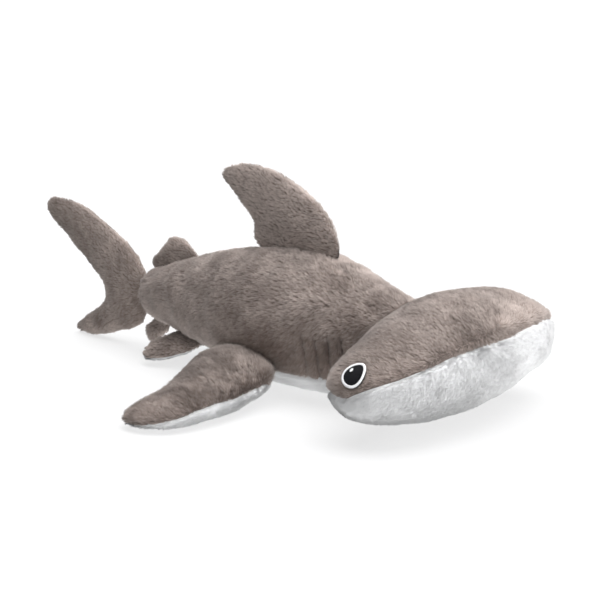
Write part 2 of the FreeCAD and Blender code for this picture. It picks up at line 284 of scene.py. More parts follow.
# how far up the two cloths of that fin meet on its front edge, in half thicknesses
PECTORAL_EDGE = [(60, -0.10), (100, -0.06), (134, 0.14), (165, 0.20), (196, 0.34), (216, 0.32), (237, 0.22), (256, 0.18), (268, 0.2)]
PELVIC = [
    (20.0, -124.0, -182.0, 8.0, 38.0),
    (29.0, -129.0, -189.0, 9.0, 34.0),
    (33.0, -132.0, -193.0, 9.5, 31.5),
    (39.0, -139.0, -201.0, 11.0, 27.0),
    (46.0, -149.0, -208.0, 11.5, 22.5),
    (54.0, -163.0, -211.0, 10.0, 17.0),
    (61.0, -178.0, -208.0, 7.0, 13.0),
    (65.0, -188.0, -202.0, 3.5, 11.0),
    (65.8, -193.0, -197.0, 2.0, 10.8),
]
GILL_S = [69.0, 84.0, 99.0, 114.0]
EYE_R, EYE_FWD, EYE_UP = 163.5, 7.4, 25.7
EYE_LONG, EYE_WIDE, EYE_RIM = 12.8, 10.4, 2.5

INSET = 4.2  # the skin lies this far inside the outer surface; the pile makes up the rest
STEP = 2.2

# lookup tables of the two big forms, for tests of what is inside what
_T = profile(TORSO, 0, (2, 3), 2.0, True, True)
_T = _T[np.argsort(_T[:, 0])]
_H = profile(HEAD, 0, (1, 2, 3), 2.0, False, True)


def roll_head(s, r, z, back=False):
    """The head lies over to its right about its own middle line."""
    a = -HEAD_ROLL if back else HEAD_ROLL
    c, n = math.cos(a), math.sin(a)
    dz = z - HEAD_Z
    return s, r * c + dz * n, HEAD_Z - r * n + dz * c


def torso_at(s):
    return [np.interp(s, _T[:, 0], _T[:, k]) for k in (1, 2, 3)]


def in_torso(p, inset=0.0):
    """Below 0 inside, about in millimetres."""
    s, r, z = station(p)
    zc, hw, hh = torso_at(s)
    hw, hh = np.maximum(hw - inset, 0.1), np.maximum(hh - inset, 0.1)
    q = np.sqrt((r / hw) ** 2 + ((z - zc) / hh) ** 2)
    d = (q - 1) * np.minimum(hw, hh)
    return np.where((s < -258) | (s > 193), 50.0, d)


def crown(r):
    """The hammer's top is fuller over the neck and lies lower at its left end."""
    return 1.0 + 0.09 * np.exp(-(np.asarray(r, float) / 62.0) ** 2) - 0.27 * smooth(95.0, 172.0, -np.asarray(r, float))


def droop(r):
    """The left end of the hammer hangs a little."""
    return -8.0 * smooth(90.0, 172.0, -np.asarray(r, float))


def chin(r):
    """The white underside is fuller towards the left end."""
    return 1.0 + 0.26 * smooth(80.0, 150.0, -np.asarray(r, float))


def blunt(r):
    """The left end is blunt: a shorter, squarer section."""
    k = smooth(70.0, 140.0, -np.asarray(r, float))
    return 1.0 - 0.13 * k, 2.05 + 0.6 * k


def head_at(r):
    r = np.abs(r)
    return [np.interp(r, _H[:, 0], _H[:, k]) for k in (1, 2, 3)]


def head_value(p, inset=0.0):
    s, r, z = roll_head(*station(p), back=True)
    f, b, h = head_at(r)
    ds = s - HEAD_S
    short, pw = blunt(r)
    chord = np.maximum(np.where(ds > 0, f * short, b) - inset, 0.1)
    dz = z - HEAD_Z - droop(r)
    high = np.maximum(np.where(dz > 0, h * crown(r), h * chin(r)) - inset, 0.1)
    q = (np.abs(ds / chord) ** pw + np.abs(dz / high) ** pw) ** (1 / pw)
    d = (q - 1) * np.minimum(chord, high)
    return np.where(np.abs(r) > 174.0, 50.0, d)


# ---------------------------------------------------------------- closed skins as grids of rings
class Skin:
    """A closed skin: rings of points, each ring split at its two seams into panel 0 (grey or
    right) and panel 1 (white or left)."""

    def __init__(self, name, rings, panel):
        self.name = name
        self.p = rings            # n rings, m points, 3, in metres
        self.panel = panel        # m: the panel of the column from this point to the next
        self.n, self.m = rings.shape[:2]
        self.normals()

    def normals(self):
        p = self.p
        du = np.roll(p, -1, 1) - np.roll(p, 1, 1)
        dv = np.empty_like(p)
        dv[1:-1] = p[2:] - p[:-2]
        dv[0], dv[-1] = p[1] - p[0], p[-1] - p[-2]
        nrm = unit(np.cross(du, dv))
        mid = p.mean(1, keepdims=True)
        if ((p - mid) * nrm)[self.n // 4: 3 * self.n // 4 + 1].sum() < 0:
            nrm = -nrm
            self.flip = True
        else:
            self.flip = False
        # ends that close to a point look straight along the form
        for e, o in ((0, 1), (-1, -2)):
            if np.ptp(p[e], axis=0).max() < 4e-4:
                nrm[e] = unit(p[e].mean(0) - p[o].mean(0))
        self.nrm = nrm

    def push(self, d):
        self.p = self.p + self.nrm * (np.asarray(d)[..., None] * MM)
        self.normals()

    def seam_distance(self):
        """Distance in millimetres from every point to the nearest seam, along its ring."""
        step = np.linalg.norm(np.roll(self.p, -1, 1) - self.p, axis=-1) / MM
        x = np.concatenate([np.zeros((self.n, 1)), np.cumsum(step, 1)], 1)
        total = x[:, -1:]
        x = x[:, :-1]
        at = [i for i in range(self.m) if self.panel[i] != self.panel[i - 1]]
        out = np.full((self.n, self.m), 1e3)
        for i in at:
            d = np.abs(x - x[:, i:i + 1])
            out = np.minimum(out, np.minimum(d, total - d))
        return out


def rings(centre, ax_a, ax_b, front, back, high, low, split, counts, power=2.0, low_power=None):
    """Rings of points.  centre n by 3 and the two axes in (s, r, z); front and back are the
    half lengths along axis a, high and low along axis b.  split holds the two seam angles of
    each ring, n by 2, with panel 0 running from the first up over the top to the second."""
    n = len(centre)
    a0, a1 = split[:, 0:1], split[:, 1:2]
    t0 = np.linspace(0, 1, counts[0], endpoint=False)[None]
    t1 = np.linspace(0, 1, counts[1], endpoint=False)[None]
    ang = np.concatenate([a0 + (a1 - a0) * t0, a1 + (a0 + 2 * math.pi - a1) * t1], 1)
    c, s_ = np.cos(ang), np.sin(ang)
    e = np.where(s_ < 0, 2.0 / (low_power or power), 2.0 / power)
    ca, sa = np.sign(c) * np.abs(c) ** e, np.sign(s_) * np.abs(s_) ** e
    la = np.where(c > 0, front[:, None], back[:, None])
    lb = np.where(s_ > 0, high[:, None], low[:, None])
    q = centre[:, None] + (la * ca)[..., None] * ax_a + (lb * sa)[..., None] * ax_b
    panel = np.array([0] * counts[0] + [1] * counts[1])
    return q, panel


def shrunk(rows, columns, inset, least=1.0):
    """Stations with their half sizes drawn in, ends kept."""
    t = rows.copy()
    for c in columns:
        f = t[:, c]
        t[:, c] = np.where(f > 2 * inset, f - inset, np.minimum(f, np.maximum(f * 0.5, 0)))
    return t


def torso_skin():
    t = profile(TORSO, 0, (2, 3), STEP, True, True)
    s, zc, hw, hh = t.T
    hw = np.maximum(hw, 0.02)
    hh = np.maximum(hh, 0.02)
    g = INSET
    hw2, hh2 = np.maximum(hw - g, hw * 0.12 + 0.01), np.maximum(hh - g, hh * 0.12 + 0.01)
    s = np.clip(s, s.min() + g, None)
    # the seam with the belly, at one height where the section reaches it
    k = np.clip((BELLY_Z - zc) / hh2, -0.999, 0.0)
    a = np.arcsin(k)
    a = np.maximum(a, -math.pi / 2 + 0.05)
    split = np.stack([a, math.pi - a], 1)
    girth = 2 * math.pi * 78
    n_top = int(girth * 0.70 / STEP)
    n_bot = int(girth * 0.26 / STEP)
    centre = np.stack([s, 0 * s, zc], 1)
    q, panel = rings(centre, np.array([0, 1.0, 0]), np.array([0, 0, 1.0]), hw2, hw2, hh2, hh2, split, (n_top, n_bot))
    return Skin("body", world(q[..., 0], q[..., 1], q[..., 2]), panel)


def head_skin():
    half = profile(HEAD, 0, (1, 2, 3), STEP, False, True)
    t = np.concatenate([half[::-1] * np.array([-1, 1, 1, 1]), half[1:]], 0)
    r, f, b, h = t.T
    g = INSET
    r = np.clip(r, r.min() + g * 0.8 + 5.0, r.max() - g * 0.8)
    f2, b2, h2 = [np.maximum(v - g, v * 0.12 + 0.01) for v in (np.maximum(f, 0.02), np.maximum(b, 0.02), np.maximum(h, 0.02))]
    edge = np.array(HEAD_EDGE, float)
    a = np.mean([np.interp(r + k, edge[:, 0], edge[:, 1]) for k in (-9, -4.5, 0, 4.5, 9)], 0)
    c = math.pi + np.arctan(HEAD_SEAM * b2 / h2) - 0.45 * smooth(120.0, 172.0, r)
    split = np.stack([a, c], 1)
    girth = 2 * math.pi * 66
    n_top, n_bot = int(girth * 0.5 / STEP), int(girth * 0.5 / STEP)
    short, pw = blunt(r)
    f2 = f2 * short
    centre = np.stack([0 * r + HEAD_S, r, HEAD_Z + droop(r)], 1)
    q, panel = rings(centre, np.array([1.0, 0, 0]), np.array([0, 0, 1.0]), f2, b2, h2 * crown(r), h2 * chin(r), split, (n_top, n_bot), pw[:, None])
    s, rr, z = roll_head(q[..., 0], q[..., 1], q[..., 2])
    return Skin("head", world(s, rr, z), panel)


def fin_skin(name, rows, origin, chord, span, normal, inset=3.4, step=None, offset_split=0.0, power=1.75, close_first=False, edge=None, low_power=None):
    """A fin through oval sections; panel 0 faces along the normal."""
    step = step or STEP
    wide = [(q[0], q[1], q[2], q[3], q[4] if len(q) > 4 else 0.0, (q[1] - q[2]) / 2, (q[1] + q[2]) / 2) for q in rows]
    # resample by span and half chord so that the slanting tips keep their points close
    t = profile(wide, 0, (1, 2), step, False, False)
    v, lead, trail, thick, off = t[:, 0], t[:, 1], t[:, 2], t[:, 3], t[:, 4]
    half, mid = np.maximum((lead - trail) / 2, 0.3), (lead + trail) / 2
    half = np.where(half > 2 * inset, half - inset, half * 0.5)
    thick = np.where(thick > 2 * inset, thick - inset, np.maximum(thick * 0.5, 0.4))
    v = v.copy()
    top = v.max() - inset * 0.8
    v = np.where(v > top, top + (v - top) * 0.12, v)
    if close_first:
        low = v.min() + inset * 0.8
        v = np.where(v < low, low + (v - low) * 0.12, v)
    o, cd, sp, nm = [np.array(q, float) for q in (origin, chord, span, normal)]
    centre = o + cd * mid[:, None] + sp * v[:, None] + nm * off[:, None]
    a = np.full(len(v), -math.asin(offset_split) if offset_split else 0.0)
    split = np.stack([a if edge is None else np.arcsin(np.interp(v, *np.array(edge, float).T)), math.pi - a], 1)
    around = int(max(24, 2 * (half.max() * 2 + 6) / step))
    q, panel = rings(centre, cd, nm, half, half, thick, thick, split, (around // 2, around // 2), power, low_power)
    # close the ends
    q = np.concatenate([q[:1].mean(1, keepdims=True) + (q[:1] - q[:1].mean(1, keepdims=True)) * 0.001, q,
                        q[-1:].mean(1, keepdims=True) + (q[-1:] - q[-1:].mean(1, keepdims=True)) * 0.001], 0)
    return Skin(name, world(q[..., 0], q[..., 1], q[..., 2]), panel)


# ---------------------------------------------------------------- meshes
def mesh_object(name, verts, loops, starts, mats, face_mat=None, uv=None, flat=False, attrs=None):
    me = bpy.data.meshes.new(name)
    me.vertices.add(len(verts))
    me.vertices.foreach_set("co", np.asarray(verts, np.float32).ravel())
    me.loops.add(len(loops))
    me.loops.foreach_set("vertex_index", np.asarray(loops, np.int32))
    me.polygons.add(len(starts))
    me.polygons.foreach_set("loop_start", np.asarray(starts, np.int32))
    for m in mats:
        me.materials.append(m)
    if face_mat is not None:
        me.polygons.foreach_set("material_index", np.asarray(face_mat, np.int32))
    me.update(calc_edges=True)
    me.polygons.foreach_set("use_smooth", np.full(len(starts), not flat))
    if uv is not None:
        layer = me.uv_layers.new(name="OFBake")
        layer.data.foreach_set("uv", np.asarray(uv, np.float32).ravel())
    for k, v in (attrs or {}).items():
        a = me.attributes.new(k, "FLOAT", "POINT")
        a.data.foreach_set("value", np.asarray(v, np.float32))
    me.update()
    o = bpy.data.objects.new(name, me)
    bpy.context.scene.collection.objects.link(o)
    return o


def skin_object(skin, name, mats, attrs=None):
    """The skin as one closed mesh, its ends closed by a fan."""
    n, m = skin.n, skin.m
    i, j = np.meshgrid(np.arange(n - 1), np.arange(m), indexing="ij")
    a, b = i * m + j, i * m + (j + 1) % m
    c, d = (i + 1) * m + (j + 1) % m, (i + 1) * m + j
    quad = np.stack([a, b, c, d], -1).reshape(-1, 4)
    if skin.flip:
        quad = quad[:, ::-1]
    u0, u1 = j / m, (j + 1) / m
    v0, v1 = i / (n - 1), (i + 1) / (n - 1)
    uv = np.stack([np.stack([u0, v0], -1), np.stack([u1, v0], -1), np.stack([u1, v1], -1), np.stack([u0, v1], -1)], -2).reshape(-1, 4, 2)
    if skin.flip:
        uv = uv[:, ::-1]
    verts = skin.p.reshape(-1, 3)
    ends = np.stack([skin.p[0].mean(0), skin.p[-1].mean(0)])
    verts = np.concatenate([verts, ends], 0)
    k = np.arange(m)
    k2 = (k + 1) % m
    first = np.stack([k2, k, np.full(m, n * m)], -1)
    last = np.stack([(n - 1) * m + k, (n - 1) * m + k2, np.full(m, n * m + 1)], -1)
    if skin.flip:
        first, last = first[:, ::-1], last[:, ::-1]
    loops = np.concatenate([quad.ravel(), first.ravel(), last.ravel()])
    starts = np.concatenate([np.arange(len(quad)) * 4, len(quad) * 4 + np.arange(2 * m) * 3])
    fm = np.concatenate([np.tile(skin.panel, n - 1), skin.panel, skin.panel])
    uvs = np.concatenate([uv.reshape(-1, 2), np.tile(np.array([[0.001, 0.001], [0.002, 0.001], [0.001, 0.002]]), (2 * m, 1))], 0)
    extra = {}
    for key, v in (attrs or {}).items():
        extra[key] = np.concatenate([np.asarray(v).ravel(), [0, 0]])
    return mesh_object(name, verts, loops, starts, mats, fm if len(mats) > 1 else None, uvs, attrs=extra)


class Pile:
    """Roots of tufts scattered on a skin: place, normal, panel and seam distance."""

    def __init__(self, skin, per_mm2, seed, panels=(0, 1), weight=None):
        p, n, m = skin.p, skin.n, skin.m
        p1 = np.roll(p, -1, 1)
        a, b, c, d = p[:-1], p1[:-1], p1[1:], p[1:]
        area = 0.5 * (np.linalg.norm(np.cross(b - a, c - a), axis=-1) + np.linalg.norm(np.cross(c - a, d - a), axis=-1)) / MM ** 2
        area = area * np.isin(skin.panel, panels)[None]
        dens = area * per_mm2
        if weight is not None:
            dens = dens * weight(skin, 0.25 * (a + b + c + d))
        rng = np.random.default_rng(SEED + seed)
        count = rng.poisson(dens)
        cell = np.repeat(np.arange(count.size), count.ravel())
        i, j = np.divmod(cell, m)
        u, v = rng.random(len(cell))[:, None], rng.random(len(cell))[:, None]

        def mix(q):
            q1 = np.roll(q, -1, 1)
            return (q[i, j] * (1 - u) * (1 - v) + q1[i, j] * u * (1 - v) + q1[i + 1, j] * u * v + q[i + 1, j] * (1 - u) * v)

        self.p = mix(p)
        self.n = unit(mix(skin.nrm))
        self.seam = mix(skin.seam_distance()[..., None])[:, 0]
        self.panel = skin.panel[j]
        self.rand = rng.random((len(cell), 5))

    def keep(self, mask):
        for k in ("p", "n", "seam", "panel", "rand"):
            setattr(self, k, getattr(self, k)[mask])
        return self

    def part(self, mask):
        q = object.__new__(Pile)
        for k in ("p", "n", "seam", "panel", "rand"):
            setattr(q, k, getattr(self, k)[mask])
        return q


def grow(pile, comb, length, width, lean, clump=0.55, clump_size=4.6, swirl=0.55, wild=0.16, seed=0, lighter=0.0, fuzzy=1.0):
    """One closed tuft at each root, a thin four-faced spike: the corners and its attributes.
    comb gives the way that the pile lies, length in millimetres and lean in radians from the
    normal may be one number or one for each root."""
    p, n = pile.p, pile.n
    mm = p / MM
    t = comb(p)
    t = t + swirl * noise3(mm, 26.0, 11 + seed) + 0.5 * swirl * noise3(mm, 9.0, 41 + seed)
    t = unit(t - n * (t * n).sum(-1, keepdims=True))
    centre, ids = clumps(mm, clump_size, 5 + seed)
    lean = lean + 0.22 * noise(mm, 14.0, 71 + seed) + 0.20 * (ids[:, 0] - 0.5) + wild * (pile.rand[:, 0] - 0.5)
    lean = np.clip(lean, 0.1, 1.36)
    ln = length * (0.80 + 0.30 * ids[:, 1] + 0.22 * (pile.rand[:, 1] - 0.5)) * (1 + 0.12 * noise(mm, 18.0, 91 + seed))
    side = np.cross(t, n)
    turn = (ids[:, 2] - 0.5) * 0.7 + (pile.rand[:, 2] - 0.5) * 2.2 * wild
    t = t * np.cos(turn)[:, None] + side * np.sin(turn)[:, None]
    side = np.cross(t, n)
    d = n * np.cos(lean)[:, None] + t * np.sin(lean)[:, None]
    tip = p + d * (ln * MM)[:, None]
    # tips of one clump draw together
    toward = (centre * MM + d * (np.asarray(length) * MM if np.ndim(length) == 0 else (length * MM)[:, None])) - tip
    toward = toward - n * (toward * n).sum(-1, keepdims=True)
    tip = tip + toward * (clump * (0.6 + 0.4 * pile.rand[:, 3]))[:, None]
    floor = 0.0006
    tip[:, 2] = np.maximum(tip[:, 2], floor + 0.0006 * pile.rand[:, 4])
    w = (width * (0.75 + 0.5 * pile.rand[:, 4]) * 0.5 * MM)[:, None]
    a = p + side * w - n * 0.0004
    b = p - side * w - n * 0.0004
    c = p - n * 0.0012 + t * w * 0.9
    for q in (a, b, c):
        q[:, 2] = np.maximum(q[:, 2], floor * 0.5)
    # the shading follows the cloth more than the single tuft, as in soft pile
    fuzz = np.stack([pile.rand[:, 1], pile.rand[:, 2], pile.rand[:, 3]], -1) - 0.5
    low = unit(n * 0.9 + d * 0.1 + fuzz * 0.25 * fuzzy)
    high = unit(n * (1 - 0.25 * fuzzy) + d * 0.25 * fuzzy + fuzz * 0.45 * fuzzy)
    # random lighter and darker patches, plus lighter: painted light and shade given by part and place
    patches_and_painted_light = 0.34 * noise(mm, 24.0, 131 + seed) + 0.22 * noise(mm, 9.0, 151 + seed) + lighter
    return dict(a=a, b=b, c=c, tip=tip, low=low, high=high, tone=0.5 + 0.35 * (ids[:, 1] - 0.5) + 0.45 * (pile.rand[:, 1] - 0.5) + patches_and_painted_light, n=len(p))


def pile_object(name, g, mat):
    """All tufts of one piece as one mesh; each tuft is closed, with its own patch of the UV map."""
    n = g["n"]
    verts = np.stack([g["a"], g["b"], g["c"], g["tip"]], 1).reshape(-1, 3)
    k = np.arange(n)[:, None] * 4
    faces = np.stack([k + np.array([[0, 1, 3]]), k + np.array([[1, 2, 3]]), k + np.array([[2, 0, 3]]), k + np.array([[0, 2, 1]])], 1).reshape(-1, 3)
    # outward winding
    va, vb, vc, vt = g["a"], g["b"], g["c"], g["tip"]
    inside = (va + vb + vc + vt) / 4
    wrong = (np.cross(vb - va, vt - va) * ((va + vb + vt) / 3 - inside)).sum(-1) < 0
    faces = faces.reshape(n, 4, 3)
    faces[wrong] = faces[wrong][:, :, ::-1]
    faces = faces.reshape(-1, 3)
    grid = int(math.ceil(math.sqrt(max(n, 1))))
    gx, gy = (np.arange(n) % grid) / grid, (np.arange(n) // grid) / grid
    cell = 1.0 / grid
    corner = np.stack([np.stack([gx + cell * 0.08, gy + cell * 0.08], -1), np.stack([gx + cell * 0.92, gy + cell * 0.08], -1),
                       np.stack([gx + cell * 0.5, gy + cell * 0.2], -1), np.stack([gx + cell * 0.5, gy + cell * 0.92], -1)], 1).reshape(-1, 2)
    uv = corner[faces.ravel()]
    tipv = np.tile(np.array([0.0, 0.0, 0.0, 1.0]), n)
    tone = np.repeat(g["tone"], 4)
    o = mesh_object(name, verts, faces.ravel(), np.arange(len(faces)) * 3, [mat], None, uv, attrs={"tip": tipv, "tone": tone})
    soft = np.stack([g["low"], g["low"], g["low"], g["high"]], 1).reshape(-1, 3)
    o.data.normals_split_custom_set_from_vertices(soft.astype(np.float32))
    return o


# ---------------------------------------------------------------- materials
def new_material(name):
    m = bpy.data.materials.new(name)
    m.use_nodes = True
    nt = m.node_tree
    for nd in list(nt.nodes):
        if nd.type not in ("BSDF_PRINCIPLED", "OUTPUT_MATERIAL"):
            nt.nodes.remove(nd)
    if "Principled BSDF" not in nt.nodes:
        nt.nodes.clear()
        out = nt.nodes.new("ShaderNodeOutputMaterial")
        bsdf = nt.nodes.new("ShaderNodeBsdfPrincipled")
        nt.links.new(bsdf.outputs[0], out.inputs[0])
    bsdf = [q for q in nt.nodes if q.type == "BSDF_PRINCIPLED"][0]
    return m, nt, bsdf


def node(nt, kind, **props):
    nd = nt.nodes.new(kind)
    for k, v in props.items():
        setattr(nd, k, v)
    return nd


def mix_colour(nt, fac, a, b, blend="MIX"):
    nd = nt.nodes.new("ShaderNodeMix")
    nd.data_type = "RGBA"
    nd.blend_type = blend
    nd.clamp_factor = True
    for sock, val in ((nd.inputs[0], fac), (nd.inputs[6], a), (nd.inputs[7], b)):
        if hasattr(val, "links"):
            nt.links.new(val, sock)
        elif isinstance(val, (int, float)):
            sock.default_value = val
        else:
            sock.default_value = (*val, 1.0)
    return nd.outputs[2]


def ranged(nt, value, a, b, c, d):
    nd = nt.nodes.new("ShaderNodeMapRange")
    nt.links.new(value, nd.inputs[0])
    for i, v in zip((1, 2, 3, 4), (a, b, c, d)):
        nd.inputs[i].default_value = v
    return nd.outputs[0]


def position(nt):
    return node(nt, "ShaderNodeTexCoord").outputs["Object"]


def noise_node(nt, scale, detail=2.0, rough=0.5):
    nd = node(nt, "ShaderNodeTexNoise")
    nt.links.new(position(nt), nd.inputs["Vector"])
    nd.inputs["Scale"].default_value = scale
    nd.inputs["Detail"].default_value = detail
    nd.inputs["Roughness"].default_value = rough
    return nd.outputs["Fac"]


def pile_material(name, root, tip, light, sheen, sheen_rough, patch=0.16):
    """Tufts: darker at the root, lighter at the tip, with each clump a little different and
    broad random patches; the tone attribute also carries painted light and shade from grow."""
    m, nt, bsdf = new_material(name)
    along = node(nt, "ShaderNodeAttribute", attribute_name="tip").outputs["Fac"]
    tone = node(nt, "ShaderNodeAttribute", attribute_name="tone").outputs["Fac"]
    tips = mix_colour(nt, ranged(nt, tone, -0.5, 1.1, 0.0, 1.0), tip, light)
    col = mix_colour(nt, ranged(nt, along, 0.0, 0.75, 0.0, 1.0), root, tips)
    shade = ranged(nt, noise_node(nt, 34.0, 3.0, 0.6), 0.3, 0.7, 1.0 - patch, 1.0 + patch)
    nd = node(nt, "ShaderNodeVectorMath", operation="SCALE")
    nt.links.new(col, nd.inputs[0])
    nt.links.new(shade, nd.inputs["Scale"])
    nt.links.new(nd.outputs[0], bsdf.inputs["Base Color"])
    rough = ranged(nt, noise_node(nt, 320.0, 1.0), 0.2, 0.8, 0.78, 0.95)
    nt.links.new(rough, bsdf.inputs["Roughness"])
    bsdf.inputs["Specular IOR Level"].default_value = 0.18
    bsdf.inputs["Sheen Weight"].default_value = sheen
    bsdf.inputs["Sheen Roughness"].default_value = sheen_rough
    return m


def skin_material(name, dark, light, sheen):
    """Backing cloth under dense underfur: mottled, with a fine raised grain."""
    m, nt, bsdf = new_material(name)
    fine = noise_node(nt, 520.0, 4.0, 0.65)
    broad = noise_node(nt, 38.0, 3.0)
    col = mix_colour(nt, ranged(nt, fine, 0.3, 0.7, 0.0, 1.0), dark, light)
    nd = node(nt, "ShaderNodeVectorMath", operation="SCALE")
    nt.links.new(col, nd.inputs[0])
    nt.links.new(ranged(nt, broad, 0.3, 0.7, 0.88, 1.1), nd.inputs["Scale"])
    nt.links.new(nd.outputs[0], bsdf.inputs["Base Color"])
    bump = node(nt, "ShaderNodeBump")
    bump.inputs["Strength"].default_value = 0.7
    bump.inputs["Distance"].default_value = 0.0012
    nt.links.new(fine, bump.inputs["Height"])
    nt.links.new(bump.outputs[0], bsdf.inputs["Normal"])
    nt.links.new(ranged(nt, fine, 0.2, 0.8, 0.85, 1.0), bsdf.inputs["Roughness"])
    bsdf.inputs["Specular IOR Level"].default_value = 0.1
    bsdf.inputs["Sheen Weight"].default_value = sheen
    bsdf.inputs["Sheen Roughness"].default_value = 0.5
    return m


def thread_material(name, colour, light, gloss, specular=0.45):
    """Satin stitched thread, with a fine twist along it."""
    m, nt, bsdf = new_material(name)
    wave = noise_node(nt, 900.0, 2.0)
    col = mix_colour(nt, ranged(nt, wave, 0.3, 0.7, 0.0, 1.0), colour, light)
    nt.links.new(col, bsdf.inputs["Base Color"])
    bump = node(nt, "ShaderNodeBump")
    bump.inputs["Strength"].default_value = 0.4
    bump.inputs["Distance"].default_value = 0.0003
    nt.links.new(wave, bump.inputs["Height"])
    nt.links.new(bump.outputs[0], bsdf.inputs["Normal"])
    nt.links.new(ranged(nt, wave, 0.2, 0.8, gloss, gloss + 0.15), bsdf.inputs["Roughness"])
    bsdf.inputs["Specular IOR Level"].default_value = specular
    bsdf.inputs["Sheen Weight"].default_value = 0.02
    return m


GREY_PILE = pile_material("grey_pile", (0.205, 0.155, 0.133), (0.235, 0.184, 0.160), (0.63, 0.535, 0.490), 0.2, 0.4, 0.10)
WHITE_PILE = pile_material("white_pile", (0.84, 0.845, 0.85), (0.90, 0.903, 0.907), (0.92, 0.923, 0.927), 0.1, 0.4, 0.015)
GREY_SKIN = skin_material("grey_backing", (0.16, 0.128, 0.114), (0.27, 0.225, 0.20), 0.2)
WHITE_SKIN = skin_material("white_backing", (0.82, 0.825, 0.83), (0.90, 0.905, 0.91), 0.1)
BLACK = thread_material("black_satin_thread", (0.003, 0.003, 0.004), (0.008, 0.008, 0.011), 0.55, 0.14)
WHITE = thread_material("white_satin_thread", (0.80, 0.80, 0.82), (0.90, 0.90, 0.91), 0.42)
# near-black thread of the gill stitches: the stitches are real, their near-black colour is painted shade of the pinched
# creases
GILL_THREAD_AND_CREASE_SHADE = thread_material("dark_seam_thread", (0.035, 0.028, 0.025), (0.07, 0.058, 0.052), 0.6)


# ---------------------------------------------------------------- which way the pile lies
def comb_body(p):
    s, r, z = station(p)
    out = np.zeros_like(p)
    out[:, 1] = 1.0                     # towards the tail
    out[:, 2] = -0.55                   # and down the flanks
    return out


def comb_head(p):
    s, r, z = station(p)
    out = np.zeros_like(p)
    out[:, 0] = -0.75 * np.tanh(r / 60.0)    # out to the ends of the hammer
    out[:, 1] = 0.15
    out[:, 2] = -0.7
    return out


def comb_head_top(p):
    s, r, z = station(p)
    out = np.zeros_like(p)
    k = smooth(HEAD_S + 75, HEAD_S + 20, s)         # over the crest the pile runs to the back
    out[:, 0] = -0.45 * np.tanh(r / 90.0)
    out[:, 1] = 0.35 + 0.9 * k
    out[:, 2] = -0.55 * (1 - k)
    return out


def comb_up_fin(p):
    out = np.zeros_like(p)
    out[:, 1] = 0.9
    out[:, 2] = 0.45
    return out


def comb_tail(p):
    out = np.zeros_like(p)
    s, r, z = station(p)
    out[:, 1] = 1.0
    out[:, 2] = 0.7 * np.tanh((z - 70.0) / 30.0)
    return out


def comb_side_fin(p):
    out = np.zeros_like(p)
    s, r, z = station(p)
    out[:, 0] = -np.sign(r) * 0.8
    out[:, 1] = 0.7
    return out


# ---------------------------------------------------------------- build the skins
body = torso_skin()
head = head_skin()

# broad dents and swells of the stuffing, and the seams drawn in
SWELL = 1.0


def relief(skin, amount, size, seed):
    mm = skin.p / MM
    return amount * (0.65 * noise(mm, size, seed) + 0.35 * noise(mm, size * 0.45, seed + 3))


def groove(distance, depth, wide):
    return -depth * np.exp(-(distance / wide) ** 2)


s_, r_, z_ = station(body.p)
d = relief(body, 2.2, 55.0, 3) + relief(body, 1.3, 21.0, 9) * smooth(20, 60, z_)
reach = smooth(-205, -190, s_) * smooth(150, 140, s_)
d += groove(body.seam_distance(), 2.6, 3.2) * reach
# gill creases on both flanks
for gs in GILL_S:
    line = gs + 2.5 * np.sin((z_ - 42.0) / 42.0 * math.pi)
    band = smooth(30, 42, z_) * smooth(94, 80, z_) * (np.abs(r_) > 20)
    d += (groove(s_ - line, 4.6, 2.9) + 1.3 * np.exp(-((s_ - line - 7.5) / 4.5) ** 2)) * band
# the cloth is gathered where the tail is sewn on
gather = smooth(-222, -246, s_)
ang = np.arctan2(z_ - 79.0, r_)
d += gather * (1.1 * np.sin(ang * 17 + 2.2 * np.sin(ang * 3)) + 0.7 * np.sin(ang * 29 + 1.0))
body.push(d)
# the belly presses on the floor
s_, r_, z_ = station(body.p)
k = 7.0
z2 = 0.5 * ((z_ - 2.2) + np.sqrt((z_ - 2.2) ** 2 + k * k)) + 2.2 - 0.0
body.p = world(s_, r_ * (1 + 0.02 * smooth(30, 5, z_)), z2)
body.normals()

d = relief(head, 1.8, 60.0, 17) + relief(head, 0.7, 20.0, 19) * (head.panel == 0)[None]
d += groove(head.seam_distance(), 2.4, 3.4)
head.push(d)
s_, r_, z_ = station(head.p)
z2 = 0.5 * ((z_ - 2.2) + np.sqrt((z_ - 2.2) ** 2 + 36.0)) + 2.2
head.p = world(s_, r_, z2)
head.normals()

S_AX, R_AX, Z_AX = (1.0, 0, 0), (0, 1.0, 0), (0, 0, 1.0)
ct, st = math.cos(SECOND_TILT), math.sin(SECOND_TILT)
dorsal = fin_skin("dorsal", DORSAL, (0, 0, DORSAL_ROOT_Z), S_AX, Z_AX, R_AX)
second = fin_skin("second", SECOND, (SECOND_AT[0], 0, SECOND_AT[1]), (ct, 0, st), (-st, 0, ct), R_AX, 2.6, STEP * 0.8)
tail = fin_skin("tail", TAIL, (0, 0, 0), S_AX, Z_AX, R_AX, close_first=True)
anal = fin_skin("anal", ANAL, (ANAL_AT[0], 0, ANAL_AT[1]), S_AX, (0, 0, -1.0), R_AX, 2.4, STEP * 0.8)
pect, pelv = {}, {}
for side, sign in (("right", 1.0), ("left", -1.0)):
    pect[side] = fin_skin("pectoral_" + side, PECTORAL, (0, 0, 0), S_AX, (0, sign, 0), Z_AX, 3.2, None, 0.30, 1.85, edge=PECTORAL_EDGE, low_power=2.6)
    pelv[side] = fin_skin("pelvic_" + side, PELVIC, (0, 0, 0), S_AX, (0, sign, 0), Z_AX, 2.6, STEP * 0.8, 0.30, 1.85)

